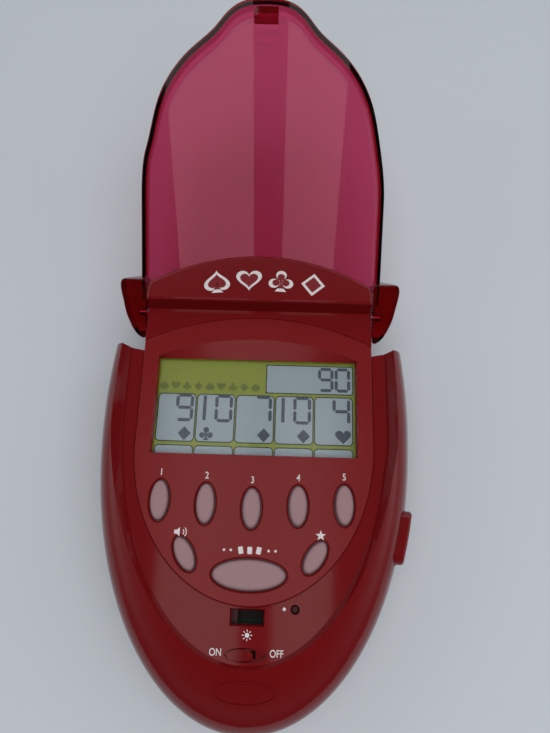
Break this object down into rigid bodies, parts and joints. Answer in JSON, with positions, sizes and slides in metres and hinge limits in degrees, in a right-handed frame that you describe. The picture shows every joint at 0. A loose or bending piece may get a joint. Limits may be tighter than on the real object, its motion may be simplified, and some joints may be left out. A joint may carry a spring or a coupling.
{
  "type": "handheld electronic card game",
  "caption": "Egg-shaped handheld electronic card game with a see-through flip-up lid, a display and oval keys.",
  "frame": {"origin": "middle of the flat back that rests on the table", "axes": "+X to the right of the face, +Y from the foot towards the lid hinge, +Z out of the face"},
  "size_m": [0.0788, 0.1746, 0.0569],
  "materials": {
    "body_red_gloss": "glossy moulded",
    "panel_red_satin": "satin",
    "key_plastic": "satin",
    "lid_clear_red": "see-through",
    "window_clear": "clear",
    "display_glass": "polarised",
    "guide_clear": "clear",
    "frame_plastic": "moulded",
    "slide_plastic": "moulded",
    "rubber_grey": "soft",
    "board_green": "solder mask",
    "resin_black": "cast resin",
    "lamp_body": "moulded",
    "part_sleeve": "shrunk sleeve",
    "cell_jacket": "printed sleeve",
    "spring_steel": "bright",
    "screw_steel": "zinc plated",
    "sounder_brass": "bare"
  },
  "bodies": {
    "body": {"front_housing": "body_red_gloss", "rear_housing": "body_red_gloss", "face_panel": "panel_red_satin", "display_window": "window_clear", "display_glass": "display_glass", "light_guide": "guide_clear", "lamp_1": "lamp_body", "lamp_2": "lamp_body", "contact_strip_1": "rubber_grey", "contact_strip_2": "rubber_grey", "display_frame": "frame_plastic", "circuit_board": "board_green", "chip": "resin_black", "capacitor_1": "part_sleeve", "capacitor_2": "part_sleeve", "key_mat": "rubber_grey", "light_switch": "frame_plastic", "latch_spring": "spring_steel", "hinge_pin_1": "spring_steel", "hinge_pin_2": "spring_steel", "sounder": "sounder_brass", "sounder_spring_1": "spring_steel", "sounder_spring_2": "spring_steel", "cell_1": "cell_jacket", "cell_contact_1": "spring_steel", "cell_spring_1": "spring_steel", "cell_2": "cell_jacket", "cell_contact_2": "spring_steel", "cell_spring_2": "spring_steel", "cell_3": "cell_jacket", "cell_contact_3": "spring_steel", "cell_spring_3": "spring_steel", "housing_screw_1": "screw_steel", "board_screw_1": "screw_steel", "housing_screw_2": "screw_steel", "board_screw_2": "screw_steel", "housing_screw_3": "screw_steel", "board_screw_3": "screw_steel", "housing_screw_4": "screw_steel", "board_screw_4": "screw_steel"},
    "lid": {"lid": "lid_clear_red"},
    "battery_door": {"battery_door": "body_red_gloss", "door_screw": "screw_steel"},
    "release": {"release_button": "body_red_gloss", "latch_slide": "slide_plastic"},
    "light_knob": {"light_knob": "body_red_gloss"},
    "hold_1": {"hold_key_1": "key_plastic"},
    "hold_2": {"hold_key_2": "key_plastic"},
    "hold_3": {"hold_key_3": "key_plastic"},
    "hold_4": {"hold_key_4": "key_plastic"},
    "hold_5": {"hold_key_5": "key_plastic"},
    "sound": {"sound_key": "key_plastic"},
    "score": {"score_key": "key_plastic"},
    "deal": {"deal_key": "key_plastic"},
    "reset": {"reset_key": "key_plastic"}
  },
  "joints": [
    {"name": "lid_hinge", "type": "hinge", "parent": "body", "child": "lid", "pos_m": [0, 0.047, 0.022], "axis": [1, 0, 0], "range_deg": [0, 155]},
    {"name": "battery_door_hinge", "type": "hinge", "parent": "body", "child": "battery_door", "pos_m": [0, 0.0306, 0.001], "axis": [1, 0, 0], "range_deg": [0, 70]},
    {"name": "release_slide", "type": "slide", "parent": "body", "child": "release", "axis": [-1, 0, 0], "range_m": [0, 0.0012], "stiffness_N_per_m": 500, "springref_m": -0.001, "deforming": ["latch_spring"]},
    {"name": "light_slide", "type": "slide", "parent": "body", "child": "light_knob", "axis": [1, 0, 0], "range_m": [0, 0.0026]},
    {"name": "hold_1_slide", "type": "slide", "parent": "body", "child": "hold_1", "axis": [0, 0, -1], "range_m": [0, 0.0008], "stiffness_N_per_m": 400, "springref_m": -0.0005},
    {"name": "hold_2_slide", "type": "slide", "parent": "body", "child": "hold_2", "axis": [0, 0, -1], "range_m": [0, 0.0008], "stiffness_N_per_m": 400, "springref_m": -0.0005},
    {"name": "hold_3_slide", "type": "slide", "parent": "body", "child": "hold_3", "axis": [0, 0, -1], "range_m": [0, 0.0008], "stiffness_N_per_m": 400, "springref_m": -0.0005},
    {"name": "hold_4_slide", "type": "slide", "parent": "body", "child": "hold_4", "axis": [0, 0, -1], "range_m": [0, 0.0008], "stiffness_N_per_m": 400, "springref_m": -0.0005},
    {"name": "hold_5_slide", "type": "slide", "parent": "body", "child": "hold_5", "axis": [0, 0, -1], "range_m": [0, 0.0008], "stiffness_N_per_m": 400, "springref_m": -0.0005},
    {"name": "sound_slide", "type": "slide", "parent": "body", "child": "sound", "axis": [0, 0, -1], "range_m": [0, 0.0008], "stiffness_N_per_m": 400, "springref_m": -0.0005},
    {"name": "score_slide", "type": "slide", "parent": "body", "child": "score", "axis": [0, 0, -1], "range_m": [0, 0.0008], "stiffness_N_per_m": 400, "springref_m": -0.0005},
    {"name": "deal_slide", "type": "slide", "parent": "body", "child": "deal", "axis": [0, 0, -1], "range_m": [0, 0.0008], "stiffness_N_per_m": 400, "springref_m": -0.0005},
    {"name": "reset_slide", "type": "slide", "parent": "body", "child": "reset", "axis": [0, 0, -1], "range_m": [0, 0.0006], "stiffness_N_per_m": 400, "springref_m": -0.0005}
  ]
}
